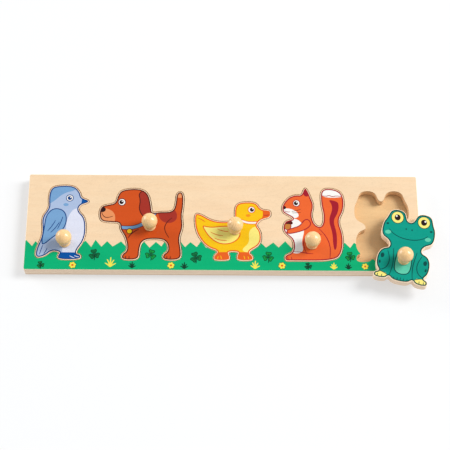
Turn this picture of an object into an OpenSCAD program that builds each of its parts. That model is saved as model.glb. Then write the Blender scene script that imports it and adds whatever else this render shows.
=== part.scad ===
// Knob puzzle: a long two-layer wooden tray with five shaped recesses and five animal pieces, each with
// a turned knob that is held by a countersunk screw from beneath. Four pieces lie in their recesses,
// and the fifth lies on the tray, over its front right corner. The origin is at the middle of the
// tray's underside, with +Z up, +Y to the back and the animals' feet to the front.

/* [Tray] */
// Wood left and right of the row of pieces
side_margin = 12; // [9:0.5:30]
// Wood between two neighbouring pieces
piece_gap = 12.5; // [8:0.5:25]
// Wood in front of the pieces' feet
front_margin = 12; // [9:0.5:30]
// Wood behind the tallest piece
back_margin = 14; // [9:0.5:30]
// Thickness of the backing sheet
base_t = 5; // [3:0.5:8]
// Thickness of the top sheet, from which the pieces are cut
sheet_t = 10; // [8:0.5:16]
// Radius of the tray's upright corners
corner_r = 2; // [0.5:0.5:8]
// Play all round a piece in its recess
play = 0.8; // [0.4:0.1:1.5]

/* [Knobs] */
// Diameter of the ball
knob_d = 18.5; // [15:0.5:24]
// Height of the ball's middle above the piece
knob_ball_z = 14; // [13:0.5:20]
// Diameter of the neck where it is narrowest
knob_neck_d = 10; // [8.5:0.5:12]
// Height of that place above the piece
knob_neck_z = 5; // [4.2:0.1:5.8]
// Diameter of the foot
knob_foot_d = 14.6; // [13:0.2:17]
// Height of the foot's upright rim
knob_foot_h = 2; // [1.6:0.1:2.6]
// Height of the bevel at the foot
knob_bevel = 0.6; // [0.4:0.1:1]

/* [Screws] */
// Diameter of the shank
screw_d = 3.5; // [2.5:0.5:4.5]
// Diameter of the countersunk head
screw_head_d = 7; // [6:0.5:9]
// Length over all
screw_l = 20; // [17:1:24]
// Length of the pointed end
screw_point_l = 4; // [2:0.5:6]
// Gap all round a screw in its hole
screw_fit = 0.1; // [0.05:0.05:0.3]
// How far a head lies below the wood
screw_sink = 0.4; // [0.2:0.1:1]
// Width of the cross in the head
cross_w = 0.9; // [0.6:0.1:1.2]
// Length of the cross in the head
cross_l = 4; // [3:0.5:5]
// Depth of the cross in the head
cross_h = 1.2; // [0.8:0.1:1.6]

/* [Bird] */
// Width from tail to beak
bird_w = 58; // [48:1:75]
// Height from feet to crown
bird_l = 94; // [80:1:110]

/* [Dog] */
// Width from nose to rump
dog_w = 97; // [85:1:120]
// Height from feet to crown
dog_l = 91; // [80:1:110]

/* [Duck] */
// Width from tail to bill
duck_w = 88; // [75:1:110]
// Height from feet to crown
duck_l = 74; // [65:1:95]

/* [Squirrel] */
// Width from nose to tail
squirrel_w = 72; // [62:1:90]
// Height from feet to ear
squirrel_l = 92; // [80:1:110]

/* [Frog] */
// Width across the haunches
frog_w = 61; // [55:1:80]
// Height from feet to eyes
frog_l = 88; // [76:1:105]

/* [Piece that is taken out] */
// Turn of the piece, clockwise from above
taken_turn = 12.5; // [0:0.5:30]
// Distance of its knob from the tray's right edge
taken_from_right = 22; // [14:1:40]
// Distance of its knob from the tray's front edge
taken_from_front = 10; // [4:1:30]

/* [Hidden] */
$fn = 48;
// A cut runs this far past the face that it opens
overrun = 1;
// Short lines in each bend of an outline
bend_steps = 5;

// Outlines, clockwise from the crown, as the bends of a smooth closed curve: each line between two
// bends is touched at its middle. Across in shares of the width from the piece's middle line, and up
// in shares of the height from the feet.
bird_outline_shares = [
    [-0.13, 1.00], [0.20, 1.00], [0.33, 0.90], [0.35, 0.83], [0.50, 0.80], [0.50, 0.76],
    [0.33, 0.73], [0.30, 0.65], [0.46, 0.56], [0.48, 0.28], [0.27, 0.09], [0.40, 0.07],
    [0.40, 0.00], [-0.06, 0.00], [-0.06, 0.06], [-0.01, 0.10], [-0.18, 0.12], [-0.31, 0.04],
    [-0.49, 0.02], [-0.50, 0.13], [-0.37, 0.34], [-0.43, 0.56], [-0.28, 0.69], [-0.31, 0.81],
    [-0.28, 0.96]
];
dog_outline_shares = [
    [-0.24, 0.98], [-0.03, 1.00], [0.08, 0.93], [0.12, 0.74], [0.12, 0.65], [0.22, 0.67],
    [0.37, 0.67], [0.40, 0.78], [0.41, 0.95], [0.50, 0.95], [0.50, 0.74], [0.48, 0.62],
    [0.50, 0.45], [0.45, 0.30], [0.48, 0.15], [0.48, 0.00], [0.26, 0.00], [0.26, 0.08],
    [0.33, 0.13], [0.30, 0.27], [0.16, 0.29], [0.02, 0.27], [-0.01, 0.14], [-0.01, 0.00],
    [-0.22, 0.00], [-0.22, 0.08], [-0.15, 0.13], [-0.18, 0.31], [-0.25, 0.42], [-0.25, 0.51],
    [-0.36, 0.51], [-0.50, 0.53], [-0.50, 0.74], [-0.38, 0.77], [-0.31, 0.79], [-0.29, 0.90]
];
duck_outline_shares = [
    [0.11, 1.00], [0.31, 1.00], [0.36, 0.87], [0.48, 0.86], [0.50, 0.82], [0.49, 0.73],
    [0.37, 0.70], [0.30, 0.60], [0.37, 0.50], [0.37, 0.27], [0.19, 0.15], [0.26, 0.08],
    [0.26, 0.00], [0.05, 0.00], [0.05, 0.08], [0.08, 0.15], [-0.07, 0.15], [-0.04, 0.08],
    [-0.04, 0.00], [-0.25, 0.00], [-0.25, 0.08], [-0.18, 0.16], [-0.34, 0.22], [-0.46, 0.42],
    [-0.50, 0.60], [-0.50, 0.80], [-0.42, 0.79], [-0.28, 0.68], [-0.12, 0.65], [0.03, 0.68],
    [0.02, 0.78], [0.03, 0.94]
];
squirrel_outline_shares = [
    [-0.18, 0.90], [-0.14, 1.00], [-0.09, 1.00], [-0.03, 0.87], [0.02, 0.76], [-0.03, 0.62],
    [0.02, 0.49], [0.13, 0.46], [0.17, 0.60], [0.12, 0.80], [0.13, 1.00], [0.36, 1.00],
    [0.50, 0.92], [0.50, 0.70], [0.39, 0.55], [0.47, 0.36], [0.45, 0.12], [0.32, 0.00],
    [-0.36, 0.00], [-0.47, 0.00], [-0.47, 0.08], [-0.33, 0.12], [-0.33, 0.28], [-0.42, 0.34],
    [-0.50, 0.42], [-0.46, 0.55], [-0.30, 0.57], [-0.44, 0.63], [-0.50, 0.67], [-0.50, 0.76],
    [-0.40, 0.87], [-0.28, 0.91]
];
frog_half_outline_shares = [
    [0.06, 0.85], [0.12, 1.00], [0.38, 1.00], [0.44, 0.86], [0.50, 0.78], [0.50, 0.60],
    [0.32, 0.54], [0.29, 0.45], [0.43, 0.42], [0.50, 0.32], [0.49, 0.17], [0.40, 0.10],
    [0.50, 0.08], [0.50, 0.00], [0.28, 0.00], [0.22, 0.06], [0.14, 0.00]
];
bird_knob_shares = [0.066, 0.23];
dog_knob_shares = [0.105, 0.466];
duck_knob_shares = [0.028, 0.519];
squirrel_knob_shares = [-0.033, 0.226];
frog_knob_shares = [0, 0.31];

// Places in the row
bird = 0;
dog = 1;
duck = 2;
squirrel = 3;
frog = 4;
piece_w = [bird_w, dog_w, duck_w, squirrel_w, frog_w];
piece_l = [bird_l, dog_l, duck_l, squirrel_l, frog_l];
outline_shares = [
    bird_outline_shares, dog_outline_shares, duck_outline_shares, squirrel_outline_shares,
    both_halves(frog_half_outline_shares)
];
knob_shares = [bird_knob_shares, dog_knob_shares, duck_knob_shares, squirrel_knob_shares, frog_knob_shares];

tray_w = 2 * side_margin + sum_to(piece_w, frog) + frog * piece_gap;
tray_d = front_margin + max(piece_l) + back_margin;
tray_t = base_t + sheet_t;
ground_y = -tray_d / 2 + front_margin;

knob_ball_r = knob_d / 2;
knob_neck_r = knob_neck_d / 2;
knob_foot_r = knob_foot_d / 2;
knob_ball_middle = [0, knob_ball_z];
// One round groove is upright in the neck, runs out to the foot's rim and meets the ball in a crease
knob_ledge = knob_foot_r - knob_neck_r;
knob_groove_r = (pow(knob_ledge, 2) + pow(knob_neck_z - knob_foot_h, 2)) / knob_ledge / 2;
knob_groove_middle = [knob_neck_r + knob_groove_r, knob_neck_z];
knob_hole_h = screw_sink + screw_l + screw_fit - sheet_t;
screw_head_h = (screw_head_d - screw_d) / 2;

// Sum of the first values of a list, up to place last
function sum_to(list, last) = last < 0 ? 0 : list[last] + sum_to(list, last - 1);

// A half outline and its mirror image, which runs back on the other side
function both_halves(half) = concat(half, [for (i = [len(half) - 1:-1:0]) [-half[i][0], half[i][1]]]);

// Points of the smooth closed curve that touches the lines between its bends at their middles
function curve(bends) = [
    for (i = [0:len(bends) - 1])
        let (
            count = len(bends),
            start = (bends[(i + count - 1) % count] + bends[i]) / 2,
            end = (bends[i] + bends[(i + 1) % count]) / 2
        )
        for (step = [0:bend_steps - 1])
            let (t = step / bend_steps)
            (1 - t) * (1 - t) * start + 2 * t * (1 - t) * bends[i] + t * t * end
];

// Middle line of a recess, counted from the tray's middle
function recess_x(i) = -tray_w / 2 + side_margin + sum_to(piece_w, i - 1) + i * piece_gap + piece_w[i] / 2;

// Where a knob stands on its piece
function knob_place(i) = [knob_shares[i][0] * piece_w[i], knob_shares[i][1] * piece_l[i]];

module piece_outline(i) {
    polygon(curve([for (bend = outline_shares[i]) [bend[0] * piece_w[i], bend[1] * piece_l[i]]]));
}

module tray_outline() {
    square([tray_w - 2 * corner_r, tray_d], center = true);
    square([tray_w, tray_d - 2 * corner_r], center = true);
    for (x = [-1, 1], y = [-1, 1])
        translate([x * (tray_w / 2 - corner_r), y * (tray_d / 2 - corner_r)]) circle(corner_r);
}

// Puts a piece, with its sole at the origin's height, where it lies
module in_its_place(i) {
    if (i == frog)
        translate([tray_w / 2 - taken_from_right, -tray_d / 2 + taken_from_front, tray_t])
            rotate([0, 0, -taken_turn])
                translate(-knob_place(i)) children();
    else
        translate([recess_x(i), ground_y, base_t]) children();
}

// Shank and head, from the sole of the head to the point, with room all round for the hole
module screw_shape(room) {
    straight_l = screw_l - screw_point_l;
    cylinder(r = screw_d / 2 + room, h = straight_l + room);
    cylinder(r1 = screw_head_d / 2 + room, r2 = screw_d / 2 + room, h = screw_head_h);
}

module plate(i) {
    difference() {
        linear_extrude(sheet_t) piece_outline(i);
        translate(knob_place(i)) {
            translate([0, 0, screw_sink]) screw_shape(screw_fit);
            translate([0, 0, -overrun]) cylinder(r = screw_head_d / 2 + screw_fit, h = screw_sink + overrun);
            cylinder(r = screw_d / 2 + screw_fit, h = sheet_t + overrun);
        }
    }
}

// Half of the knob's outline, as the turner cuts it
module knob_profile() {
    intersection() {
        translate(knob_ball_middle) circle(knob_ball_r);
        square([knob_ball_r, knob_ball_z + knob_ball_r]);
    }
    difference() {
        polygon([
            [0, 0], [knob_foot_r - knob_bevel, 0], [knob_foot_r, knob_bevel], [knob_foot_r, knob_neck_z],
            knob_groove_middle, knob_ball_middle
        ]);
        translate(knob_groove_middle) circle(knob_groove_r);
    }
}

module knob() {
    difference() {
        rotate_extrude() knob_profile();
        translate([0, 0, -overrun]) cylinder(r = screw_d / 2 + screw_fit, h = knob_hole_h + overrun);
    }
}

module screw() {
    straight_l = screw_l - screw_point_l;
    difference() {
        union() {
            screw_shape(0);
            translate([0, 0, straight_l]) cylinder(r1 = screw_d / 2, r2 = 0, h = screw_point_l);
        }
        for (turn = [0, 90])
            rotate([0, 0, turn])
                translate([-cross_l / 2, -cross_w / 2, -overrun]) cube([cross_l, cross_w, cross_h + overrun]);
    }
}

module plate_in_place(i) {
    in_its_place(i) plate(i);
}

module knob_in_place(i) {
    in_its_place(i) translate(concat(knob_place(i), sheet_t)) knob();
}

module screw_in_place(i) {
    in_its_place(i) translate(concat(knob_place(i), screw_sink)) screw();
}

module tray_base() {
    color("burlywood") linear_extrude(base_t) tray_outline();
}

module tray_frame() {
    color("wheat")
        translate([0, 0, base_t])
            linear_extrude(sheet_t)
                difference() {
                    tray_outline();
                    for (i = [bird:frog])
                        translate([recess_x(i), ground_y]) offset(delta = play) piece_outline(i);
                }
}

module bird_plate() {
    color("lightsteelblue") plate_in_place(bird);
}

module bird_knob() {
    color("navajowhite") knob_in_place(bird);
}

module bird_screw() {
    color("silver") screw_in_place(bird);
}

module dog_plate() {
    color("chocolate") plate_in_place(dog);
}

module dog_knob() {
    color("navajowhite") knob_in_place(dog);
}

module dog_screw() {
    color("silver") screw_in_place(dog);
}

module duck_plate() {
    color("gold") plate_in_place(duck);
}

module duck_knob() {
    color("navajowhite") knob_in_place(duck);
}

module duck_screw() {
    color("silver") screw_in_place(duck);
}

module squirrel_plate() {
    color("coral") plate_in_place(squirrel);
}

module squirrel_knob() {
    color("navajowhite") knob_in_place(squirrel);
}

module squirrel_screw() {
    color("silver") screw_in_place(squirrel);
}

module frog_plate() {
    color("lightseagreen") plate_in_place(frog);
}

module frog_knob() {
    color("navajowhite") knob_in_place(frog);
}

module frog_screw() {
    color("silver") screw_in_place(frog);
}

tray_base();
tray_frame();
bird_plate();
bird_knob();
bird_screw();
dog_plate();
dog_knob();
dog_screw();
duck_plate();
duck_knob();
duck_screw();
squirrel_plate();
squirrel_knob();
squirrel_screw();
frog_plate();
frog_knob();
frog_screw();
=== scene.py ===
# Peg puzzle: a long plywood tray and five printed animal pieces, each lifted by a turned knob
import math

import bmesh
import bpy
import numpy as np
from mathutils import Matrix, Vector
from mathutils.geometry import delaunay_2d_cdt


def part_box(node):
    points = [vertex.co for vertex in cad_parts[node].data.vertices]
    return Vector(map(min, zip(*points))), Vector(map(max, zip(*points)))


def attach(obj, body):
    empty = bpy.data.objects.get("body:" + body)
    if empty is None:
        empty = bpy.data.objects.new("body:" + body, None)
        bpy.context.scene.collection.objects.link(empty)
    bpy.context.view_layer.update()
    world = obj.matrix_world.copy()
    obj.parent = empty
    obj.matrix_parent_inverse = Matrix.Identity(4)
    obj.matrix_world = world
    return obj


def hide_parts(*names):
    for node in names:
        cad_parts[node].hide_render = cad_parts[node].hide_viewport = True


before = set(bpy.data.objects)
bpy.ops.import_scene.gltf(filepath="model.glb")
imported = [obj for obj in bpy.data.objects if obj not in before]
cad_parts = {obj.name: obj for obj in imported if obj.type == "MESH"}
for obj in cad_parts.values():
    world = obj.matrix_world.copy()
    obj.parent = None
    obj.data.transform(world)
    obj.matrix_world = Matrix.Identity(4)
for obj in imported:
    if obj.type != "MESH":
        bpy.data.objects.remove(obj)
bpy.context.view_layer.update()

mm = 0.001


# camera, floor and light

photo = dict(
    elevation=65.24, azimuth=-1.49, roll=1.70,  # degrees; azimuth from the front towards the right
    distance=1.516,
    focalPixels=1310.6,
    originPixel=(223.07, 227.63),  # where the middle of the tray's underside falls in the photograph
    frameWidth=450,
)

studio = dict(
    # the floor is a lit white table, so that shadows on it stay light
    floorColor=(0.33, 0.335, 0.34), floorGlow=0.505, floorSize=40.0,
    floorGap=0.2,  # under the tray in millimetres, so that the two faces never share a plane
    skyColor=(1.0, 1.0, 1.0), skyStrength=0.62,
    # azimuth from +X towards +Y, elevation, distance, width, watts
    key=(18, 47, 10.0, 4.4, 895.0),
    lowKey=(8, 28, 10.0, 3.0, 245.0),
    leftFill=(150, 15, 10.0, 6.0, 560.0),
)


def directionOf(azimuth, elevation):
    a, e = math.radians(azimuth), math.radians(elevation)
    return Vector((math.cos(e) * math.cos(a), math.cos(e) * math.sin(a), math.sin(e)))


def addCamera(look):
    data = bpy.data.cameras.new("photoCamera")
    data.sensor_width = 36.0
    data.lens = look["focalPixels"] / look["frameWidth"] * data.sensor_width
    middle = look["frameWidth"] / 2
    data.shift_x = (middle - look["originPixel"][0]) / look["frameWidth"]
    data.shift_y = (look["originPixel"][1] - middle) / look["frameWidth"]
    data.clip_start, data.clip_end = 0.05, 50
    camera = bpy.data.objects.new("photoCamera", data)
    bpy.context.scene.collection.objects.link(camera)
    back = directionOf(look["azimuth"] - 90, look["elevation"])
    right = Vector((0, 0, 1)).cross(back).normalized()
    up = back.cross(right)
    turn = math.radians(look["roll"])
    rolledRight = math.cos(turn) * right + math.sin(turn) * up
    rolledUp = -math.sin(turn) * right + math.cos(turn) * up
    place = back * look["distance"]
    rows = [(rolledRight[i], rolledUp[i], back[i], place[i]) for i in range(3)]
    camera.matrix_world = Matrix([*rows, (0, 0, 0, 1)])
    bpy.context.scene.camera = camera


def addSoftLight(name, azimuth, elevation, distance, width, watts):
    data = bpy.data.lights.new(name, "AREA")
    data.shape = "DISK"
    data.size = width
    data.energy = watts
    lamp = bpy.data.objects.new(name, data)
    bpy.context.scene.collection.objects.link(lamp)
    lamp.visible_camera = False
    lamp.location = directionOf(azimuth, elevation) * distance
    lamp.rotation_euler = lamp.location.to_track_quat("Z", "Y").to_euler()


def addStudio(look):
    bpy.ops.mesh.primitive_plane_add(size=look["floorSize"], location=(0, 0, -look["floorGap"] * mm))
    floor = bpy.context.object
    floor.name = "studioFloor"
    paper = bpy.data.materials.new("floor paper")
    paper.use_nodes = True
    shader = paper.node_tree.nodes["Principled BSDF"]
    shader.inputs["Base Color"].default_value = (*look["floorColor"], 1)
    shader.inputs["Roughness"].default_value = 1.0
    shader.inputs["Specular IOR Level"].default_value = 0.0
    shader.inputs["Emission Color"].default_value = (1, 1, 1, 1)
    shader.inputs["Emission Strength"].default_value = look["floorGlow"]
    floor.data.materials.append(paper)
    world = bpy.data.worlds.new("studioSky")
    bpy.context.scene.world = world
    world.use_nodes = True
    sky = world.node_tree.nodes["Background"]
    sky.inputs["Color"].default_value = (*look["skyColor"], 1)
    sky.inputs["Strength"].default_value = look["skyStrength"]
    addSoftLight("keyLight", *look["key"])
    addSoftLight("lowKeyLight", *look["lowKey"])
    addSoftLight("leftFillLight", *look["leftFill"])
    view = bpy.context.scene.view_settings
    view.view_transform = "Standard"
    view.look = "None"
    view.exposure = 0
    view.gamma = 1


addCamera(photo)
addStudio(studio)
print("camera, floor and light are set")


# materials

def linear(red, green, blue):
    # a colour as a screen shows it, 0 to 255, to the linear one that the shader takes
    part = [c / 255 for c in (red, green, blue)]
    return tuple(c / 12.92 if c <= 0.04045 else ((c + 0.055) / 1.055) ** 2.4 for c in part) + (1,)


def newMaterial(name, look):
    material = bpy.data.materials.new(name)
    material.use_nodes = True
    shader = material.node_tree.nodes["Principled BSDF"]
    shader.inputs["Roughness"].default_value = look["roughness"]
    shader.inputs["Specular IOR Level"].default_value = look["shine"]
    shader.inputs["Coat Weight"].default_value = look["coat"]
    shader.inputs["Coat Roughness"].default_value = look["coatRoughness"]
    return material, shader


def addNode(material, kind, settings=None, **inputs):
    node = material.node_tree.nodes.new(kind)
    for key, value in (settings or {}).items():
        setattr(node, key, value)
    for key, value in inputs.items():
        socket = node.inputs[key.replace("_", " ")]
        if isinstance(value, bpy.types.NodeSocket):
            material.node_tree.links.new(value, socket)
        else:
            socket.default_value = value
    return node


def join(material, output, socket):
    material.node_tree.links.new(output, socket)


def inFigures(material, where, size):
    # coordinates in which one unit is a figure of this size: lengthwise, across and upright in millimetres
    scaled = addNode(material, "ShaderNodeVectorMath", dict(operation="MULTIPLY"), Vector=where)
    scaled.inputs[1].default_value = [1 / (length * mm) for length in size]
    return scaled.outputs["Vector"]


def grainNoise(material, size, turn=0.0, detail=3.0, distortion=0.0):
    where = addNode(material, "ShaderNodeTexCoord").outputs["Object"]
    if turn:
        where = addNode(material, "ShaderNodeVectorRotate", dict(rotation_type="Z_AXIS"),
                        Vector=where, Angle=math.radians(turn)).outputs["Vector"]
    noise = addNode(material, "ShaderNodeTexNoise", Vector=inFigures(material, where, size),
                    Scale=1.0, Detail=detail, Roughness=0.55, Distortion=distortion)
    return noise.outputs["Fac"]


def ramp(material, factor, stops, interpolation="LINEAR"):
    node = addNode(material, "ShaderNodeValToRGB", Fac=factor)
    node.color_ramp.interpolation = interpolation
    while len(node.color_ramp.elements) < len(stops):
        node.color_ramp.elements.new(0.5)
    for element, (place, color) in zip(node.color_ramp.elements, stops):
        element.position = place
        element.color = color
    return node.outputs["Color"]


def shades(dark, light, low=0.35, high=0.65):
    # two greys for a ramp: dark up to low, light from high
    return [(low, (dark, dark, dark, 1)), (high, (light, light, light, 1))]


def mixColors(material, kind, share, first, second):
    node = addNode(material, "ShaderNodeMix", dict(data_type="RGBA", blend_type=kind))
    for socket, value in ((node.inputs[0], share), (node.inputs[6], first), (node.inputs[7], second)):
        if isinstance(value, bpy.types.NodeSocket):
            join(material, value, socket)
        else:
            socket.default_value = value
    return node.outputs[2]


def darken(material, color, factor, stops):
    # multiplies a colour by the grey that the factor gives on a ramp
    return mixColors(material, "MULTIPLY", 1.0, color, ramp(material, factor, stops))


def addBump(material, shader, height, depth, strength):
    # depth is in millimetres
    bump = addNode(material, "ShaderNodeBump", Height=height, Distance=depth * mm, Strength=strength)
    join(material, bump.outputs["Normal"], shader.inputs["Normal"])


# face veneer: fine short flecks, faint streaks along the sheet, and the pointed figure of sliced year rings
faceWood = dict(
    base=(213, 187, 154), streak=(211, 183, 149),
    streakSize=(46, 8, 4), fleckSize=(1.8, 0.95, 0.28), bandSize=(56, 26, 30), figureSize=(105, 21, 40),
    fleckShade=0.93, bandShade=0.965, figureShade=0.972, figureRings=9,
    roughness=0.45, coat=0.12, coatRoughness=0.25, shine=0.25, fleckDepth=0.04,
)
# the backing sheet's upper face, browner, seen in the empty recess
recessWood = dict(faceWood, base=(209, 174, 126), streak=(205, 168, 120), figureShade=0.96)


def makeFaceWood(name, look, turn=0.0):
    material, shader = newMaterial(name, look)
    streaks = grainNoise(material, look["streakSize"], turn, detail=4, distortion=0.35)
    flecks = grainNoise(material, look["fleckSize"], turn, detail=1)
    bands = grainNoise(material, look["bandSize"], turn, detail=2, distortion=0.8)
    growth = grainNoise(material, look["figureSize"], turn, detail=1, distortion=0.3)
    rings = addNode(material, "ShaderNodeMath", dict(operation="MULTIPLY"), Value=growth)
    rings.inputs[1].default_value = look["figureRings"]
    figure = addNode(material, "ShaderNodeMath", dict(operation="PINGPONG"), Value=rings.outputs[0])
    figure.inputs[1].default_value = 0.5
    color = ramp(material, streaks, [(0.36, linear(*look["streak"])), (0.60, linear(*look["base"]))])
    color = darken(material, color, bands, shades(look["bandShade"], 1.0))
    color = darken(material, color, flecks, shades(look["fleckShade"], 1.0, 0.28, 0.5))
    color = darken(material, color, figure.outputs[0], shades(look["figureShade"], 1.0, 0.0, 0.16))
    join(material, color, shader.inputs["Base Color"])
    addBump(material, shader, flecks, look["fleckDepth"], 0.5)
    return material


# cut edge of the plywood: layers one above the other, every second one end grain
plyEdge = dict(
    faceLayer=(254, 232, 204), longLayer=(252, 228, 200), crossLayer=(230, 201, 174),
    fibreSize=(9, 9, 0.35), poreSize=(0.35, 0.35, 0.35), fibreShade=0.90, poreShade=0.88,
    waveSize=(14, 14, 2.5), waveHeight=0.35,
    roughness=0.6, coat=0.05, coatRoughness=0.4, shine=0.3, poreDepth=0.08,
)
# the walls of the recesses, browner than the outer edge, partly from the cutter's browning and partly painted
# shade: the dark face layer at the top of each wall is painted shade for the narrow gaps round the seated
# pieces, and the same colour makes a dark band at the wall's foot
cutEdgeAndShade = dict(plyEdge, faceLayer=(198, 163, 123), longLayer=(236, 198, 152), crossLayer=(222, 180, 134))


def makePlyEdge(name, look, low, layers):
    # low is the sheet's underside, and layers lists a thickness and a colour's name from the bottom up
    material, shader = newMaterial(name, look)
    where = addNode(material, "ShaderNodeTexCoord").outputs["Object"]
    height = addNode(material, "ShaderNodeSeparateXYZ", Vector=where).outputs["Z"]
    total = sum(thickness for thickness, _ in layers)
    wave = grainNoise(material, look["waveSize"], detail=2)
    wave = addNode(material, "ShaderNodeMath", dict(operation="MULTIPLY_ADD"), Value=wave)
    wave.inputs[1].default_value = look["waveHeight"] * mm
    wave.inputs[2].default_value = -look["waveHeight"] / 2 * mm
    level = addNode(material, "ShaderNodeMath", dict(operation="ADD"))
    join(material, height, level.inputs[0])
    join(material, wave.outputs[0], level.inputs[1])
    share = addNode(material, "ShaderNodeMapRange", Value=level.outputs[0])
    share.inputs["From Min"].default_value = low * mm
    share.inputs["From Max"].default_value = (low + total) * mm
    stops, at = [], 0.0
    for thickness, kind in layers:
        stops.append((at / total, linear(*look[kind])))
        at += thickness
    color = ramp(material, share.outputs[0], stops, "CONSTANT")
    fibres = grainNoise(material, look["fibreSize"], detail=4)
    pores = grainNoise(material, look["poreSize"], detail=2)
    color = darken(material, color, fibres, shades(look["fibreShade"], 1.0))
    color = darken(material, color, pores, shades(look["poreShade"], 1.0, 0.30, 0.5))
    join(material, color, shader.inputs["Base Color"])
    addBump(material, shader, pores, look["poreDepth"], 0.6)
    return material


# printed ink: its colours are painted on the faces, and the veneer's grain shows through a little
ink = dict(
    strength=0.69,
    streakSize=(40, 5, 4), fleckSize=(1.9, 0.9, 0.3), streakShade=0.96, fleckShade=0.92,
    roughness=0.4, smoother=0.05, rougher=0.06, coat=0.1, coatRoughness=0.16, shine=0.06, fleckDepth=0.03,
)


def makeInk(name, look):
    material, shader = newMaterial(name, look)
    painted = addNode(material, "ShaderNodeAttribute", dict(attribute_name="inkColor")).outputs["Color"]
    streaks = grainNoise(material, look["streakSize"], detail=4, distortion=0.3)
    flecks = grainNoise(material, look["fleckSize"], detail=1)
    color = darken(material, painted, streaks, shades(look["streakShade"], 1.0))
    color = darken(material, color, flecks, shades(look["fleckShade"], 1.0, 0.28, 0.5))
    color = mixColors(material, "MULTIPLY", 1.0, color, (*[look["strength"]] * 3, 1))
    join(material, color, shader.inputs["Base Color"])
    gloss = shades(look["roughness"] - look["smoother"], look["roughness"] + look["rougher"])
    join(material, ramp(material, streaks, gloss), shader.inputs["Roughness"])
    addBump(material, shader, flecks, look["fleckDepth"], 0.5)
    return material


# turned knobs: year rings cut by the ball, under a varnish that is glossy on the ball and dull on the foot
knobWood = dict(
    light=(229, 190, 135), dark=(190, 146, 92),
    ringWidth=1.5, ringSway=2.2, fibreSize=(6, 0.35, 0.35), fibreShade=0.86, fibreDepth=0.02,
    roughness=0.29, coat=0.12, coatRoughness=0.2, shine=0.5,
    footRoughness=0.7, dullBelow=2.5, glossyAbove=6.5,  # heights over the piece's face in millimetres
)
ringsPerUnit = 3.2  # how many rings the wave texture makes in one unit of length


def makeKnobWood(name, look, faceLevel, lean, shiftAlong, tone):
    # lean is the log's turn in degrees, shiftAlong is in millimetres, and tone darkens the wood
    material, shader = newMaterial(name, look)
    where = addNode(material, "ShaderNodeTexCoord").outputs["Object"]
    leaning = addNode(material, "ShaderNodeMapping", Vector=where)
    leaning.inputs["Location"].default_value = (0, 0, shiftAlong * mm)
    leaning.inputs["Rotation"].default_value = [math.radians(a) for a in lean]
    rings = addNode(material, "ShaderNodeTexWave",
                    dict(wave_type="RINGS", rings_direction="X", wave_profile="SAW"),
                    Vector=leaning.outputs["Vector"], Scale=1 / (look["ringWidth"] * mm) / ringsPerUnit,
                    Distortion=look["ringSway"], Detail=2.0)
    rings.inputs["Detail Scale"].default_value = 0.6
    alongFibres = inFigures(material, leaning.outputs["Vector"], look["fibreSize"])
    fibres = addNode(material, "ShaderNodeTexNoise", Vector=alongFibres, Scale=1.0, Detail=2.0)
    light, dark = linear(*look["light"]), linear(*look["dark"])
    color = ramp(material, rings.outputs["Fac"], [(0.0, light), (0.75, light), (1.0, dark)])
    color = darken(material, color, fibres.outputs["Fac"], shades(look["fibreShade"], 1.0, 0.3, 0.6))
    color = mixColors(material, "MULTIPLY", 1.0, color, (tone, tone, tone, 1))
    join(material, color, shader.inputs["Base Color"])
    height = addNode(material, "ShaderNodeSeparateXYZ", Vector=where).outputs["Z"]
    gloss = addNode(material, "ShaderNodeMapRange", Value=height)
    gloss.inputs["From Min"].default_value = (faceLevel + look["dullBelow"]) * mm
    gloss.inputs["From Max"].default_value = (faceLevel + look["glossyAbove"]) * mm
    gloss.inputs["To Min"].default_value = look["footRoughness"]
    gloss.inputs["To Max"].default_value = look["roughness"]
    join(material, gloss.outputs[0], shader.inputs["Roughness"])
    addBump(material, shader, fibres.outputs["Fac"], look["fibreDepth"], 0.3)
    return material


# zinc-plated screws, turned marks round the head
screwMetal = dict(
    color=(186, 188, 186),
    roughness=0.32, smoothest=0.26, roughest=0.42, coat=0.0, coatRoughness=0.1, shine=0.5,
    markSize=(0.5, 0.5, 0.12), markShade=0.8, markDepth=0.03,
)


def makeScrewMetal(look):
    material, shader = newMaterial("screw steel", look)
    shader.inputs["Metallic"].default_value = 1.0
    marks = grainNoise(material, look["markSize"], detail=3)
    color = darken(material, linear(*look["color"]), marks, shades(look["markShade"], 1.0))
    join(material, color, shader.inputs["Base Color"])
    gloss = ramp(material, marks, shades(look["smoothest"], look["roughest"]))
    join(material, gloss, shader.inputs["Roughness"])
    addBump(material, shader, marks, look["markDepth"], 0.4)
    return material


# thickness in millimetres and kind of each layer, from the bottom up
sheetLayers = [(1.1, "faceLayer"), (1.7, "crossLayer"), (1.5, "longLayer"), (1.5, "crossLayer"),
               (1.5, "longLayer"), (1.6, "crossLayer"), (1.1, "faceLayer")]
backingLayers = [(1.2, "faceLayer"), (2.6, "crossLayer"), (1.2, "faceLayer")]

facePlain = makeFaceWood("face veneer", faceWood)
faceTurned = makeFaceWood("face veneer turned", faceWood, turn=12.5)
recessFloor = makeFaceWood("recess floor veneer", recessWood)
inkMaterial = makeInk("printed ink", ink)
trayEdge = makePlyEdge("plywood edge", plyEdge, 5, sheetLayers)
# the recess walls, whose dark top layer is painted shade for the gaps round the seated pieces
recessEdgeAndShade = makePlyEdge("plywood edge recess", cutEdgeAndShade, 5, sheetLayers)
backingEdge = makePlyEdge("plywood edge backing", plyEdge, 0, backingLayers)
raisedEdge = makePlyEdge("plywood edge raised", plyEdge, 15, sheetLayers)
screwSteel = makeScrewMetal(screwMetal)
print("materials are made")


# drawing in the flat, in millimetres

def smoothLoop(bends, steps=6):
    # a closed curve that touches the lines between its bends at their middles
    bends = np.asarray(bends, float)
    start, end = (np.roll(bends, 1, axis=0) + bends) / 2, (bends + np.roll(bends, -1, axis=0)) / 2
    t = (np.arange(steps) / steps)[None, :, None]
    points = (1 - t) ** 2 * start[:, None] + 2 * t * (1 - t) * bends[:, None] + t * t * end[:, None]
    return points.reshape(-1, 2)


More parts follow.
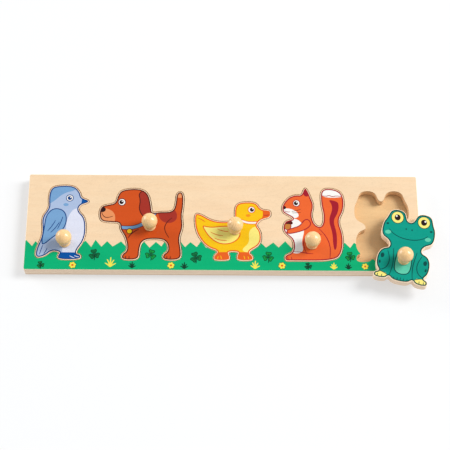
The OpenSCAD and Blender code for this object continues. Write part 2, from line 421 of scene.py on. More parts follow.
def smoothLine(bends, steps=6):
    # an open curve of the same kind, from the first bend to the last
    bends = [np.asarray(bend, float) for bend in bends]
    if len(bends) == 2:
        return np.array(bends)
    points = [bends[0]]
    for i in range(1, len(bends) - 1):
        start = bends[0] if i == 1 else (bends[i - 1] + bends[i]) / 2
        end = bends[-1] if i == len(bends) - 2 else (bends[i] + bends[i + 1]) / 2
        for step in range(1, steps + 1):
            t = step / steps
            points.append((1 - t) ** 2 * start + 2 * t * (1 - t) * bends[i] + t * t * end)
    return np.array(points)


def strokeLoop(bends, width, taper=0.0):
    # the outline of a brush stroke with round ends
    line = smoothLine(bends)
    along = np.gradient(line, axis=0)
    along /= np.linalg.norm(along, axis=1)[:, None]
    across = np.stack([-along[:, 1], along[:, 0]], 1)
    half = width / 2 * (1 - taper * np.abs(np.linspace(-1, 1, len(line))) ** 3)

    def roundEnd(place, heading, radius):
        start = math.atan2(heading[1], heading[0])
        return [place + radius * np.array([math.cos(start + t), math.sin(start + t)])
                for t in np.linspace(math.pi / 2, -math.pi / 2, 7)[1:-1]]

    left, right = line + across * half[:, None], line - across * half[:, None]
    return np.array([*left, *roundEnd(line[-1], along[-1], half[-1]),
                     *right[::-1], *roundEnd(line[0], -along[0], half[0])])


def ovalLoop(middle, halfWidth, halfHeight, count=30):
    t = np.linspace(0, 2 * math.pi, count, endpoint=False)
    return np.stack([middle[0] + halfWidth * np.cos(t), middle[1] + halfHeight * np.sin(t)], 1)


def areaOf(loop):
    x, y = loop[:, 0], loop[:, 1]
    return 0.5 * float(np.sum(x * np.roll(y, -1) - np.roll(x, -1) * y))


def anticlockwise(loop):
    return loop if areaOf(loop) > 0 else loop[::-1]


def leftNormals(loop, longest=1.6):
    # mitred normals towards the left of the loop
    ahead = np.roll(loop, -1, axis=0) - loop
    ahead /= np.linalg.norm(ahead, axis=1)[:, None]
    normal = np.stack([-ahead[:, 1], ahead[:, 0]], 1)
    before = np.roll(normal, 1, axis=0)
    mitre = (normal + before) / (1 + (normal * before).sum(1))[:, None].clip(0.05)
    length = np.linalg.norm(mitre, axis=1)
    return mitre * (np.minimum(length, longest) / length)[:, None]


def gatheredNormals(loop, inward):
    # normals that are shortened where a rim of this width would fold over at a tight corner
    normals = leftNormals(loop)
    ahead = np.roll(loop, -1, axis=0) - loop
    for _ in range(40):
        moved = loop + normals * inward
        folded = ((np.roll(moved, -1, axis=0) - moved) * ahead).sum(1) < 0.02 * (ahead ** 2).sum(1)
        if not folded.any():
            break
        normals[folded | np.roll(folded, 1)] *= 0.85
    return normals


def windings(points, loop):
    # how many times the loop runs anticlockwise round each point
    first, second = loop[None, :, :], np.roll(loop, -1, axis=0)[None, :, :]
    x, y = points[:, :1], points[:, 1:2]
    ahead = second - first
    side = ahead[..., 0] * (y - first[..., 1]) - (x - first[..., 0]) * ahead[..., 1]
    rising = (first[..., 1] <= y) & (second[..., 1] > y) & (side > 0)
    falling = (first[..., 1] > y) & (second[..., 1] <= y) & (side < 0)
    return rising.sum(1) - falling.sum(1)


def cutFlat(loops, prints):
    # triangles of a flat sheet between its loops, cut along each printed shape, with the shape that is on top
    points, edges = [], []
    for loop in [*loops, *(shape for _, shape, _ in prints)]:
        first = len(points)
        points += [Vector(p) for p in loop]
        edges += [(first + i, first + (i + 1) % len(loop)) for i in range(len(loop))]
    found, _, faces, *_ = delaunay_2d_cdt(points, edges, [], 0, 1e-5, False)
    found, faces = np.array([tuple(p) for p in found]), np.array(faces)
    middles = found[faces].mean(1)
    inside = windings(middles, loops[0]) > 0
    for loop in loops[1:]:
        inside &= windings(middles, loop) == 0
    faces, middles = faces[inside], middles[inside]
    printed = np.full(len(faces), -1)
    for i, (_, shape, clip) in enumerate(prints):
        on = windings(middles, shape) > 0
        if clip is not None:
            on &= windings(middles, clip) > 0
        printed[on] = i
    return found, faces, printed


def rimLoops(faces):
    # the sheet's edges as closed chains of corners, with the sheet on their left
    corners = {tuple(pair) for face in faces for pair in zip(face, np.roll(face, -1))}
    follows = {a: b for a, b in corners if (b, a) not in corners}
    chains = []
    while follows:
        start, step = follows.popitem()
        chain = [start]
        while step != start:
            chain.append(step)
            step = follows.pop(step)
        chains.append(chain)
    return chains


def placeOnLoops(point, loops):
    # which loop a point lies on, between which corners, and how far along
    best = None
    for number, loop in enumerate(loops):
        ahead = np.roll(loop, -1, axis=0) - loop
        share = (((point - loop) * ahead).sum(1) / (ahead ** 2).sum(1)).clip(0, 1)
        away = np.linalg.norm(loop + ahead * share[:, None] - point, axis=1)
        corner = int(away.argmin())
        if best is None or away[corner] < best[0]:
            best = (away[corner], number, corner, share[corner])
    return best[1:]


def roundedRim(low, high, upper, lower, steps=3):
    # rings from the top face down to the bottom face: how far in, and how high
    rings = []
    for step in range(steps + 1):
        angle = step / steps * math.pi / 2
        rings.append((upper * (1 - math.sin(angle)), high - upper * (1 - math.cos(angle))))
    for step in range(steps + 1):
        angle = (1 - step / steps) * math.pi / 2
        rings.append((lower * (1 - math.sin(angle)), low + lower * (1 - math.cos(angle))))
    return rings


# places in a sheet's list of materials
topPlace, edgePlace, bottomPlace, inkPlace, cutPlace = range(5)


def paintFace(face, layer, materialPlace, shape=-1, prints=()):
    # gives a face its material, and its corners the printed shape's ink, or white where nothing is printed
    face.material_index = materialPlace if shape < 0 else inkPlace
    color = (1, 1, 1, 1) if shape < 0 else linear(*inkColors[prints[shape][0]])
    for corner in face.loops:
        corner[layer] = color


def finishPiece(name, made, materials, body, node):
    mesh = bpy.data.meshes.new(name)
    made.to_mesh(mesh)
    made.free()
    for material in materials:
        mesh.materials.append(material)
    piece = bpy.data.objects.new(name, mesh)
    bpy.context.scene.collection.objects.link(piece)
    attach(piece, body)
    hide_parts(node)
    print(f"{name}: {len(mesh.polygons)} faces")


def buildSheet(name, rims, prints, materials, body, node):
    # rims is a list of a loop with the wood on its left, its rings, and its wall's place among the materials
    normals = [gatheredNormals(loop, max(inward for inward, _ in rings)) for loop, rings, _ in rims]
    loops = [loop + normal * rings[0][0] for (loop, rings, _), normal in zip(rims, normals)]
    found, faces, printed = cutFlat(loops, prints)
    made = bmesh.new()
    painted = made.loops.layers.float_color.new("inkColor")

    # the upper face, at the height of the first rim's first ring
    high = rims[0][1][0][1]
    top = {int(v): made.verts.new((*(found[v] * mm), high * mm)) for v in np.unique(faces)}
    for face, shape in zip(faces, printed):
        paintFace(made.faces.new([top[int(v)] for v in face]), painted, topPlace, shape, prints)
    shapeAt = {(int(a), int(b)): int(shape) for face, shape in zip(faces, printed)
               for a, b in zip(face, np.roll(face, -1))}

    # the walls, ring by ring, where the first ring takes the print that meets the edge
    lowest = []
    for chain in rimLoops(faces):
        rows = []
        for corner in chain:
            number, i, share = placeOnLoops(found[corner], loops)
            loop, rings, wallPlace = rims[number]
            j = (i + 1) % len(loop)
            rows.append((loop[i] * (1 - share) + loop[j] * share,
                         normals[number][i] * (1 - share) + normals[number][j] * share))
        above = [top[int(v)] for v in chain]
        for k, (inward, level) in enumerate(rings[1:]):
            below = [made.verts.new((*((place + normal * inward) * mm), level * mm))
                     for place, normal in rows]
            for i in range(len(chain)):
                j = (i + 1) % len(chain)
                wall = made.faces.new([above[i], below[i], below[j], above[j]])
                wall.smooth = True
                shape = shapeAt[int(chain[i]), int(chain[j])] if k == 0 else -1
                paintFace(wall, painted, wallPlace, shape, prints)
                if k == 0:
                    made.edges.get((above[i], above[j])).smooth = False
            above = below
        lowest.append(above)

    # the underside between the lowest rings, the widest of them first
    bottomPoints = [np.array([[v.co.x / mm, v.co.y / mm] for v in ring]) for ring in lowest]
    order = sorted(range(len(lowest)), key=lambda i: -abs(areaOf(bottomPoints[i])))
    found, faces, _ = cutFlat([bottomPoints[i] for i in order], [])
    corners = [v for i in order for v in lowest[i]]
    places = np.array([p for i in order for p in bottomPoints[i]])
    match = {int(v): corners[int(np.linalg.norm(places - found[v], axis=1).argmin())]
             for v in np.unique(faces)}
    for face in faces:
        new = made.faces.new([match[int(v)] for v in reversed(face)])
        paintFace(new, painted, bottomPlace)
        for corner in new.loops:
            beside = corner.edge.link_faces
            inBottom = len(beside) == 2 and all(f.material_index == bottomPlace for f in beside)
            corner.edge.smooth = corner.edge.smooth and inBottom
    finishPiece(name, made, materials, body, node)


def topLoops(node):
    # the loops round a CAD node's top face, in millimetres, with the wood on their left
    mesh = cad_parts[node].data
    high = max(v.co.z for v in mesh.vertices)
    keys, places, faces = {}, [], []
    for polygon in mesh.polygons:
        if all(abs(mesh.vertices[v].co.z - high) < 1e-5 for v in polygon.vertices):
            face = []
            for v in polygon.vertices:
                place = mesh.vertices[v].co
                key = (round(place.x, 6), round(place.y, 6))
                if key not in keys:
                    keys[key] = len(places)
                    places.append((place.x / mm, place.y / mm))
                face.append(keys[key])
            faces.append(face)
    return sorted((np.array([places[i] for i in chain]) for chain in rimLoops(faces)),
                  key=lambda loop: -abs(areaOf(loop)))


# what is printed

inkColors = dict(
    paleBlue=(176, 195, 227), midBlue=(122, 167, 212), navy=(10, 66, 132), deepBlue=(0, 84, 165),
    lilac=(226, 230, 247), rust=(213, 84, 30), darkRust=(168, 52, 40), umber=(88, 28, 24),
    peach=(238, 152, 98), black=(44, 22, 24), yellow=(252, 200, 20), lemon=(255, 240, 130),
    flame=(236, 100, 34), amber=(246, 150, 30), orange=(242, 106, 50), crimson=(166, 28, 46),
    white=(252, 250, 246), nut=(205, 130, 60), teal=(0, 158, 138), mint=(98, 208, 176),
    pine=(0, 78, 74), grass=(0, 181, 119), leaf=(16, 164, 66), fern=(8, 122, 66), bottle=(10, 66, 44),
    straw=(250, 236, 84),
)

# widths in millimetres, and how much a line narrows towards its ends
lineStyle = dict(bareRim=0.65, contour=1.4, innerLine=1.15, dotEdging=0.9, lineEdging=0.8, lineTaper=0.35)


def drawRows(rows, at, lineInk, clip):
    # turns rows into inked loops: at turns a row's places into points, and clip is the loop that holds them
    style, prints = lineStyle, []
    for kind, name, *rest in rows:
        if kind == "patch":
            prints.append((name, anticlockwise(smoothLoop(at(rest[0]))), clip))
        elif kind == "outlined":
            loop = anticlockwise(smoothLoop(at(rest[0])))
            width = rest[1] if len(rest) > 1 else style["innerLine"]
            prints.append((lineInk, loop, clip))
            prints.append((name, loop + leftNormals(loop) * width, clip))
        elif kind == "line":
            width, points = rest
            prints.append((name, anticlockwise(strokeLoop(at(points), width, style["lineTaper"])), clip))
        elif kind == "outlinedLine":
            width, points = rest
            edged = width + 2 * style["lineEdging"]
            prints.append((lineInk, anticlockwise(strokeLoop(at(points), edged)), clip))
            prints.append((name, anticlockwise(strokeLoop(at(points), width)), clip))
        elif kind in ("dot", "outlinedDot"):
            place, halfWidth, halfHeight = rest
            middle, edging = at([place])[0], style["dotEdging"]
            if kind == "outlinedDot":
                prints.append((lineInk, ovalLoop(middle, halfWidth + edging, halfHeight + edging), clip))
            prints.append((name, ovalLoop(middle, halfWidth, halfHeight), clip))
    return prints


def mirroredRows(rows):
    def flip(points):
        return [(-x, y) for x, y in points]

    out = []
    for kind, name, *rest in rows:
        if kind in ("dot", "outlinedDot"):
            out.append((kind, name, *flip(rest[:1]), *rest[1:]))
        elif kind in ("line", "outlinedLine"):
            out.append((kind, name, rest[0], flip(rest[1])))
        else:
            out.append((kind, name, flip(rest[0]), *rest[1:]))
    return out


# each row is a kind, an ink and its places, as shares of the animal's width from its middle line and of its
# height from its feet; a line has its width before them, and a dot its half width and half height after them
birdPrint = dict(bodyInk="paleBlue", lineInk="navy", rows=[
    ("patch", "lilac", [(0.20, 0.70), (0.42, 0.66), (0.60, 0.50), (0.55, 0.22), (0.30, 0.04), (-0.02, 0.08),
                        (0.10, 0.28), (0.06, 0.50)]),
    ("patch", "midBlue", [(-0.44, 0.70), (-0.22, 0.76), (0.00, 0.90), (0.26, 0.93), (0.30, 1.10),
                          (-0.50, 1.10)]),
    ("patch", "deepBlue", [(0.335, 0.90), (0.60, 0.86), (0.60, 0.68), (0.325, 0.70), (0.37, 0.785)]),
    ("patch", "deepBlue", [(-0.12, 0.092), (0.10, 0.100), (0.40, 0.092), (0.60, 0.08), (0.60, -0.05),
                           (-0.15, -0.05)]),
    ("line", "lilac", 0.8, [(0.27, 0.055), (0.33, 0.035), (0.38, 0.038)]),
    ("line", "lilac", 0.8, [(0.18, 0.050), (0.24, 0.030), (0.29, 0.018)]),
    ("outlined", "midBlue", [(-0.34, 0.60), (-0.18, 0.70), (0.04, 0.66), (0.10, 0.52), (0.02, 0.38),
                             (-0.16, 0.30), (-0.36, 0.18), (-0.40, 0.24), (-0.36, 0.42)]),
    ("line", "navy", 0.9, [(-0.06, 0.50), (-0.12, 0.42), (-0.22, 0.36)]),
    ("line", "navy", 0.9, [(-0.14, 0.52), (-0.20, 0.44), (-0.28, 0.38)]),
    ("line", "navy", 0.9, [(0.00, 0.57), (-0.03, 0.49), (-0.09, 0.41)]),
    ("line", "navy", 0.9, [(-0.36, 0.19), (-0.39, 0.13), (-0.415, 0.07)]),
    ("line", "navy", 0.9, [(-0.27, 0.15), (-0.30, 0.11), (-0.33, 0.07)]),
    ("outlinedDot", "white", (0.12, 0.825), 3.6, 3.6),
    ("dot", "navy", (0.12, 0.825), 2.5, 2.5),
    ("dot", "white", (0.138, 0.836), 0.8, 0.8),
    ("dot", "midBlue", (0.05, 0.735), 3.0, 1.9),
])
dogPrint = dict(bodyInk="rust", lineInk="umber", rows=[
    ("patch", "peach", [(-0.60, 0.48), (-0.32, 0.47), (-0.30, 0.62), (-0.38, 0.71), (-0.60, 0.74)]),
    ("patch", "darkRust", [(0.18, 0.72), (0.28, 0.72), (0.41, 0.70), (0.43, 0.56), (0.34, 0.50),
                           (0.22, 0.54)]),
    ("patch", "peach", [(0.36, 0.86), (0.56, 0.87), (0.56, 1.05), (0.36, 1.05)]),
    ("line", "umber", 1.0, [(0.33, 0.31), (0.27, 0.40), (0.29, 0.52), (0.36, 0.58)]),
    ("line", "umber", 1.0, [(-0.15, 0.30), (-0.11, 0.38), (-0.03, 0.42)]),
    ("outlinedLine", "midBlue", 3.6, [(-0.30, 0.455), (-0.14, 0.43), (0.01, 0.48), (0.10, 0.57),
                                      (0.17, 0.66)]),
    ("outlinedDot", "yellow", (-0.135, 0.395), 2.7, 2.7),
    ("outlined", "darkRust", [(-0.05, 0.93), (0.05, 0.99), (0.14, 0.92), (0.20, 0.74), (0.13, 0.58),
                              (0.02, 0.58), (-0.04, 0.70), (-0.02, 0.82)]),
    ("dot", "black", (-0.468, 0.695), 4.4, 3.4),
    ("dot", "white", (-0.482, 0.712), 1.1, 0.6),
    ("line", "umber", 0.9, [(-0.47, 0.655), (-0.455, 0.60), (-0.40, 0.575), (-0.34, 0.60)]),
    ("outlinedDot", "white", (-0.235, 0.80), 3.7, 3.9),
    ("dot", "black", (-0.240, 0.80), 2.5, 2.7),
    ("dot", "white", (-0.230, 0.812), 0.8, 0.8),
    *(("line", "umber", 0.9, [(x, 0.015), (x + 0.01, 0.035), (x + 0.005, 0.055)])
      for x in (-0.175, -0.135, 0.305, 0.345)),
])
duckPrint = dict(bodyInk="yellow", lineInk="flame", rows=[
    ("patch", "flame", [(0.375, 0.93), (0.60, 0.90), (0.60, 0.62), (0.365, 0.68), (0.40, 0.78)]),
    ("line", "crimson", 0.8, [(0.40, 0.775), (0.44, 0.762), (0.485, 0.785)]),
    ("patch", "lemon", [(0.30, 0.60), (0.50, 0.52), (0.50, 0.22), (0.20, 0.12), (0.10, 0.18), (0.22, 0.30),
                        (0.20, 0.50)]),
    ("patch", "flame", [(-0.35, 0.125), (-0.10, 0.145), (0.00, 0.14), (0.20, 0.145), (0.40, 0.125),
                        (0.40, -0.05), (-0.35, -0.05)]),
    ("line", "yellow", 0.8, [(-0.15, 0.00), (-0.145, 0.05), (-0.16, 0.08)]),
    ("line", "yellow", 0.8, [(-0.20, 0.00), (-0.20, 0.04), (-0.19, 0.07)]),
    ("line", "yellow", 0.8, [(0.15, 0.00), (0.155, 0.05), (0.14, 0.08)]),
    ("line", "yellow", 0.8, [(0.205, 0.00), (0.205, 0.04), (0.195, 0.07)]),
    ("outlined", "lemon", [(-0.42, 0.61), (-0.30, 0.56), (-0.12, 0.59), (0.05, 0.58), (0.12, 0.44),
                           (0.02, 0.29), (-0.16, 0.26), (-0.31, 0.38)]),
    ("line", "flame", 0.9, [(-0.29, 0.48), (-0.21, 0.42), (-0.13, 0.42)]),
    ("line", "flame", 0.9, [(-0.24, 0.38), (-0.16, 0.33), (-0.08, 0.34)]),
    ("line", "flame", 0.9, [(-0.20, 0.53), (-0.13, 0.49), (-0.06, 0.49)]),
    ("line", "flame", 0.9, [(-0.46, 0.72), (-0.41, 0.70), (-0.36, 0.65)]),
    ("outlinedLine", "white", 2.2, [(-0.02, 0.745), (0.12, 0.665), (0.24, 0.63), (0.37, 0.65)]),
    ("outlinedDot", "white", (0.245, 0.865), 3.5, 3.6),
    ("dot", "black", (0.25, 0.865), 2.4, 2.5),
    ("dot", "white", (0.262, 0.882), 0.75, 0.75),
    ("dot", "amber", (0.20, 0.765), 2.8, 1.8),
])
squirrelPrint = dict(bodyInk="orange", lineInk="crimson", rows=[
    ("patch", "white", [(0.10, 0.90), (0.30, 0.86), (0.60, 0.90), (0.60, 1.10), (0.05, 1.10)]),
    ("line", "crimson", 0.9, [(0.13, 0.90), (0.22, 0.885), (0.26, 0.905), (0.32, 0.88), (0.38, 0.90),
                              (0.49, 0.885)]),
    ("patch", "crimson", [(0.25, 0.84), (0.34, 0.83), (0.42, 0.80), (0.40, 0.66), (0.31, 0.55), (0.37, 0.38),
                          (0.36, 0.18), (0.32, 0.14), (0.30, 0.24), (0.30, 0.38), (0.24, 0.56), (0.31, 0.70),
                          (0.30, 0.78)]),
    ("patch", "white", [(-0.30, 0.58), (-0.20, 0.54), (-0.14, 0.42), (-0.20, 0.26), (-0.16, 0.12),
                        (-0.34, 0.09), (-0.42, 0.20), (-0.40, 0.34), (-0.60, 0.45), (-0.45, 0.58)]),
    ("line", "crimson", 1.0, [(0.085, 0.44), (0.16, 0.38), (0.24, 0.26), (0.26, 0.14), (0.24, 0.02)]),
    ("line", "crimson", 1.0, [(-0.12, 0.10), (-0.18, 0.20), (-0.14, 0.34), (0.00, 0.40), (0.12, 0.36)]),
    ("line", "crimson", 0.9, [(-0.36, 0.125), (-0.22, 0.125), (-0.10, 0.10), (-0.02, 0.10)]),
    *(("line", "crimson", 0.8, [(x, 0.010), (x + 0.005, 0.035), (x - 0.005, 0.055)]) for x in (-0.42, -0.36)),
    ("outlined", "orange", [(-0.08, 0.58), (-0.02, 0.50), (-0.12, 0.42), (-0.30, 0.375), (-0.42, 0.36),
                            (-0.44, 0.42), (-0.34, 0.45), (-0.22, 0.48), (-0.16, 0.56)]),
    ("outlinedDot", "nut", (-0.415, 0.475), 3.6, 4.4),
    ("patch", "umber", [(-0.50, 0.49), (-0.49, 0.54), (-0.41, 0.555), (-0.33, 0.54), (-0.33, 0.49),
                        (-0.415, 0.505)]),
    ("patch", "white", [(-0.60, 0.70), (-0.44, 0.725), (-0.30, 0.70), (-0.22, 0.63), (-0.26, 0.58),
                        (-0.46, 0.58), (-0.60, 0.64)]),
    ("dot", "black", (-0.468, 0.728), 2.6, 2.2),
    ("line", "crimson", 0.8, [(-0.455, 0.685), (-0.42, 0.66), (-0.37, 0.67)]),
    ("line", "black", 0.6, [(-0.34, 0.675), (-0.27, 0.685), (-0.20, 0.705)]),
    ("line", "black", 0.6, [(-0.34, 0.655), (-0.27, 0.655), (-0.20, 0.665)]),
    ("outlinedDot", "white", (-0.265, 0.79), 3.5, 3.7),
    ("dot", "black", (-0.272, 0.79), 2.4, 2.6),
    ("dot", "white", (-0.258, 0.802), 0.75, 0.75),
    ("patch", "crimson", [(-0.155, 0.91), (-0.125, 0.97), (-0.095, 0.97), (-0.065, 0.89), (-0.11, 0.88)]),
])
frogSide = [
    ("patch", "pine", [(0.36, 0.33), (0.40, 0.36), (0.44, 0.33), (0.42, 0.28), (0.37, 0.29)]),
    ("patch", "pine", [(0.41, 0.23), (0.43, 0.25), (0.45, 0.23), (0.44, 0.20), (0.41, 0.20)]),
    ("line", "pine", 1.0, [(0.32, 0.40), (0.25, 0.30), (0.27, 0.18), (0.36, 0.115), (0.44, 0.11)]),
    ("patch", "lemon", [(0.25, 0.075), (0.34, 0.095), (0.44, 0.095), (0.60, 0.09), (0.60, -0.05),
                        (0.22, -0.05)]),
    ("line", "pine", 0.9, [(0.26, 0.065), (0.34, 0.098), (0.44, 0.10)]),
    *(("line", "pine", 0.9, [(x, 0.010), (x + 0.005, 0.035), (x, 0.055)]) for x in (0.345, 0.425)),
    ("line", "pine", 1.0, [(0.22, 0.44), (0.185, 0.30), (0.185, 0.16), (0.215, 0.065)]),
    *(("line", "pine", 0.9, [(x, 0.010), (x - 0.005, 0.03), (x, 0.05)]) for x in (0.06, 0.125)),
    ("outlinedDot", "lemon", (0.25, 0.885), 6.6, 7.0),
    ("dot", "black", (0.25, 0.885), 3.4, 3.8),
    ("dot", "white", (0.272, 0.902), 1.1, 1.1),
    ("dot", "pine", (0.055, 0.745), 0.8, 1.0),
    ("dot", "mint", (0.375, 0.655), 3.4, 2.4),
    ("dot", "pine", (0.41, 0.775), 1.6, 1.2),
]
frogPrint = dict(bodyInk="teal", lineInk="pine", rows=[
    ("outlined", "mint", [(0.0, 0.47), (0.13, 0.45), (0.165, 0.30), (0.155, 0.13), (0.0, 0.09),
                          (-0.155, 0.13), (-0.165, 0.30), (-0.13, 0.45)]),
    *frogSide, *mirroredRows(frogSide),
    ("line", "pine", 1.0, [(-0.36, 0.70), (-0.28, 0.635), (0.0, 0.59), (0.28, 0.635), (0.36, 0.70)]),
    ("line", "pine", 0.9, [(0.0, 0.055), (0.0, 0.03), (0.0, 0.00)]),
])


# the five pieces

# eased edges and the countersunk screw hole, in millimetres
plateShape = dict(
    upperRound=0.28, lowerRound=0.28,
    holeRadius=1.85, holeCorners=32, headRadius=3.6, headSink=0.4, coneHeight=1.75,
)
# sizes in millimetres, turn in degrees, low the height of the underside, and knob where the knob stands, in
# shares of the width from the middle line and of the height from the feet
pieces = dict(
    bird=dict(width=58, height=94, knob=(0.066, 0.23), low=5, turn=0),
    dog=dict(width=97, height=91, knob=(0.105, 0.466), low=5, turn=0),
    duck=dict(width=88, height=74, knob=(0.028, 0.519), low=5, turn=0),
    squirrel=dict(width=72, height=92, knob=(-0.033, 0.226), low=5, turn=0),
    frog=dict(width=61, height=88, knob=(0, 0.31), low=15, turn=12.5),
)
piecePrints = dict(bird=birdPrint, dog=dogPrint, duck=duckPrint, squirrel=squirrelPrint, frog=frogPrint)
sheetThickness = 10


def buildPlate(name, piece, shape, printRows):
    loop, *holes = topLoops(name + "_plate")
    knobPlace = np.mean([hole.mean(0) for hole in holes], axis=0)
    turn = math.radians(-piece["turn"])
    across = piece["width"] * np.array([math.cos(turn), math.sin(turn)])
    upward = piece["height"] * np.array([-math.sin(turn), math.cos(turn)])
    feet = knobPlace - across * piece["knob"][0] - upward * piece["knob"][1]

    def at(shares):
        return [feet + across * x + upward * y for x, y in shares]

    normals = leftNormals(loop)
    printRim = loop + normals * lineStyle["bareRim"]
    bodyRim = loop + normals * (lineStyle["bareRim"] + lineStyle["contour"])
    lineInk = printRows["lineInk"]
    prints = [(lineInk, printRim, None), (printRows["bodyInk"], bodyRim, None)]
    prints += drawRows(printRows["rows"], at, lineInk, bodyRim)
    low, high = piece["low"], piece["low"] + sheetThickness
    rimRings = roundedRim(low, high, shape["upperRound"], shape["lowerRound"])
    hole = ovalLoop(knobPlace, shape["holeRadius"], shape["holeRadius"], shape["holeCorners"])[::-1]
    flare, seat = shape["headRadius"] - shape["holeRadius"], low + shape["headSink"]
    holeRings = [(0, high), (0, seat + shape["coneHeight"]), (flare, seat), (flare, low)]
    wood, edge = (faceTurned, raisedEdge) if piece["turn"] else (facePlain, trayEdge)
    buildSheet(name + "Plate", [(loop, rimRings, edgePlace), (hole, holeRings, edgePlace)], prints,
               [wood, edge, wood, inkMaterial], name, name + "_plate")


for pieceName, piece in pieces.items():
    buildPlate(pieceName, piece, plateShape, piecePrints[pieceName])


# the tray

# sizes and eased edges in millimetres
tray = dict(
    width=450, depth=120, backing=5, sheet=10,
    upperRound=0.4, recessRound=0.25, glueLine=0.12, lowerRound=0.4,
)
# the printed strip along the front: uneven teeth, then clovers by place, size, turn and ink, flowers by
# place and size, and tufts by place, size and ink
meadow = dict(
    toothWidth=13.4, toothSway=1.7, widthSway=0.06,
    peak=-24.2, peakSway=1.1, valley=-31.6, valleySway=0.9,
    pastLeft=16, pastRight=30, pastFront=3,  # how far the drawn strip runs past the tray's edges
    clovers=[(-146, -41, 1.0, 10, "fern"), (-82, -41, 1.0, -15, "leaf"), (-31, -44, 1.05, 20, "fern"),
             (51, -43, 1.0, -8, "leaf"), (144, -42, 0.9, 8, "leaf"), (-206, -54, 0.68, 15, "leaf"),
             (96, -54, 0.68, 12, "fern")],
    flowers=[(-170, -54.4, 0.95), (-59, -54.2, 0.95), (66.5, -53.8, 0.95), (160.5, -54.2, 0.9)],
    tufts=[(-127.5, -56, 1.15, "straw"), (-103, -57.5, 0.75, "bottle"), (-44, -58, 0.8, "bottle"),
           (36, -57.5, 0.95, "straw"), (125, -57.5, 0.75, "straw"), (141.5, -57.5, 0.7, "bottle")],
)
# what each motif is made of, in millimetres at size 1: points, and the widths of lines
clover = dict(
    leaflet=[(0.1, 0.0), (1.3, 2.0), (3.9, 3.9), (6.5, 2.9), (5.6, 0.0), (6.5, -2.9), (3.9, -3.9),
             (1.3, -2.0)],
    leafletLine=0.85, vein=[(0.6, 0), (2.2, 0), (4.0, 0)], veinLine=0.6,
    sideVein=[(1.8, 0), (3.0, 0.9), (3.9, 2.0)], sideVeinLine=0.5,
    stalk=[(0, 0), (0.9, -3.6), (0.2, -7.2)], stalkLine=1.1,
)
flower = dict(petals=6, turn=12, reach=2.7, petalRim=2.0, petal=1.5, middleRim=2.4, middle=1.4)
tuft = dict(tips=[(-5.0, 3.6), (-3.0, 7.4), (0.4, 9.6), (3.4, 6.8), (5.2, 3.2)], bladeLine=1.5)


def cloverRows(x, y, size, turn, name):
    # three heart-shaped leaflets with their veins, round a stalk
    stalk = [(x + p * size, y + q * size) for p, q in clover["stalk"]]
    rows = [("line", "bottle", clover["stalkLine"], stalk)]
    for k in range(3):
        a = math.radians(90 + turn + 120 * k)
        out, side = np.array([math.cos(a), math.sin(a)]), np.array([-math.sin(a), math.cos(a)])

        def place(points, flip=1):
            return [tuple(np.array([x, y]) + (out * p + side * q * flip) * size) for p, q in points]

        rows.append(("outlined", name, place(clover["leaflet"]), clover["leafletLine"]))
        rows.append(("line", "bottle", clover["veinLine"], place(clover["vein"])))
        for flip in (-1, 1):
            rows.append(("line", "bottle", clover["sideVeinLine"], place(clover["sideVein"], flip)))
    return rows


def flowerRows(x, y, size):
    # round petals with a dark rim, and an orange middle
    angles = [math.radians(360 / flower["petals"] * k + flower["turn"]) for k in range(flower["petals"])]
    reach = flower["reach"] * size
    petals = [(x + reach * math.cos(angle), y + reach * math.sin(angle)) for angle in angles]
    discs = [("bottle", petal, flower["petalRim"]) for petal in petals]
    discs += [("straw", petal, flower["petal"]) for petal in petals]
    discs += [("straw", (x, y), flower["middleRim"]), ("flame", (x, y), flower["middle"])]
    return [("dot", name, middle, radius * size, radius * size) for name, middle, radius in discs]


def tuftRows(x, y, size, name):
    # blades of grass that fan out from one root
    return [("line", name, tuft["bladeLine"], [(x + 0.12 * tipX * size, y),
                                               (x + 0.3 * tipX * size, y + 0.55 * tipY * size),
                                               (x + tipX * size, y + tipY * size)])
            for tipX, tipY in tuft["tips"]]


def meadowPrints(look, halfWidth, halfDepth):
    # each sway is a sine with a pace of its own, so that no two teeth are alike
    teeth, count = [], int(2 * halfWidth / look["toothWidth"]) + 3
    for k in range(count):
        x = -halfWidth - look["toothWidth"] + k * look["toothWidth"] + look["toothSway"] * math.sin(2.3 * k)
        teeth.append((x, look["peak"] + look["peakSway"] * math.sin(1.9 * k + 1)))
        halfTooth = look["toothWidth"] * (0.5 + look["widthSway"] * math.sin(3.1 * k))
        teeth.append((x + halfTooth, look["valley"] + look["valleySway"] * math.sin(2.7 * k)))
    left, right = -halfWidth - look["pastLeft"], halfWidth + look["pastRight"]
    front = -halfDepth - look["pastFront"]
    strip = np.array([(left, front), (right, front), *reversed(teeth)])
    rows = []
    for draw, motifs in ((cloverRows, "clovers"), (flowerRows, "flowers"), (tuftRows, "tufts")):
        for motif in look[motifs]:
            rows += draw(*motif)
    return [("grass", anticlockwise(strip), None)] + drawRows(rows, lambda points: points, "bottle", None)


def buildTray(look):
    outer, *recesses = topLoops("tray_frame")
    level = look["backing"]
    high = level + look["sheet"]
    outerRings = roundedRim(level, high, look["upperRound"], look["glueLine"])
    recessRings = roundedRim(level, high, look["recessRound"], look["glueLine"])
    rims = [(outer, outerRings, edgePlace), *((recess, recessRings, cutPlace) for recess in recesses)]
    prints = meadowPrints(meadow, look["width"] / 2, look["depth"] / 2)
    buildSheet("trayTopSheet", rims, prints, [facePlain, trayEdge, facePlain, inkMaterial, recessEdgeAndShade],
               "tray", "tray_frame")
    backingRings = roundedRim(0, level, look["glueLine"], look["lowerRound"])
    buildSheet("trayBackingSheet", [(topLoops("tray_base")[0], backingRings, edgePlace)], [],
               [recessFloor, backingEdge, facePlain, inkMaterial], "tray", "tray_base")


buildTray(tray)


# knobs and screws

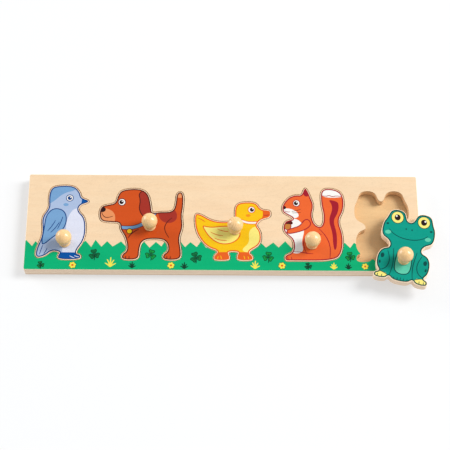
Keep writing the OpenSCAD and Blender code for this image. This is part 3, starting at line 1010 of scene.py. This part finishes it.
# half of a knob's outline in millimetres, as radius and height over the piece's face: bends of the foot and
# the neck, then the ball from the radius at which it leaves the neck
knobShape = dict(
    foot=[(5.6, 0.0), (6.75, 0.0), (6.75, 2.3), (6.0, 2.9), (5.85, 5.2), (6.05, 7.3)],
    ballRadius=9.05, height=23.25, ballFrom=7.0,
    holeRadius=1.85, holeHeight=10.5,
    around=64, ballSteps=40,
)


def knobOutline(shape):
    # from the foot's rim over the neck and the ball to just under the crown
    radius, middle = shape["ballRadius"], shape["height"] - shape["ballRadius"]
    start = math.asin(shape["ballFrom"] / radius)
    onBall = (shape["ballFrom"], middle - radius * math.cos(start))
    points = [tuple(point) for point in smoothLine([*shape["foot"], onBall])]
    for step in range(1, shape["ballSteps"]):
        angle = start + (math.pi - start) * step / shape["ballSteps"]
        points.append((radius * math.sin(angle), middle - radius * math.cos(angle)))
    return points


def buildKnob(name, shape, wood):
    lowest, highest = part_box(name + "_knob")
    x, y, faceLevel = (lowest[0] + highest[0]) / 2, (lowest[1] + highest[1]) / 2, lowest[2]
    made = bmesh.new()

    def point(radius, angle, height):
        return made.verts.new((x + radius * math.cos(angle) * mm, y + radius * math.sin(angle) * mm,
                               faceLevel + height * mm))

    # the rings run from the end of the hole down its wall, under the foot and up the outside
    hole = [(shape["holeRadius"], shape["holeHeight"]), (shape["holeRadius"], 0.0)]
    turns = [2 * math.pi * i / shape["around"] for i in range(shape["around"])]
    rings = [[point(radius, angle, height) for angle in turns]
             for radius, height in hole + knobOutline(shape)]
    ends = point(0, 0, shape["holeHeight"]), point(0, 0, shape["height"])
    for i in range(len(turns)):
        j = (i + 1) % len(turns)
        made.faces.new([ends[0], rings[0][j], rings[0][i]])
        made.faces.new([ends[1], rings[-1][i], rings[-1][j]])
        for before, after in zip(rings, rings[1:]):
            made.faces.new([before[i], before[j], after[j], after[i]])
    for face in made.faces:
        face.smooth = True
    for ring in rings[:2]:
        for i in range(len(turns)):
            made.edges.get((ring[i - 1], ring[i])).smooth = False
    bmesh.ops.recalc_face_normals(made, faces=made.faces)
    finishPiece(name + "Knob", made, [wood], name, name + "_knob")


# lean of the grain in degrees, its shift in millimetres, and a grey that darkens the wood
knobGrain = dict(
    bird=((12, 78, 20), 11, 1.0), dog=((-20, 60, 75), 23, 0.985), duck=((64, 28, 40), 14, 1.0),
    squirrel=((5, 70, 140), 17, 0.99), frog=((-15, 84, 60), 31, 0.97),
)
for pieceName, (lean, shiftAlong, tone) in knobGrain.items():
    faceLevel = pieces[pieceName]["low"] + sheetThickness
    wood = makeKnobWood(pieceName + " knob wood", knobWood, faceLevel, lean, shiftAlong, tone)
    buildKnob(pieceName, knobShape, wood)
    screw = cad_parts[pieceName + "_screw"].data
    screw.materials.clear()
    screw.materials.append(screwSteel)
print("knobs are turned and screws are dressed")
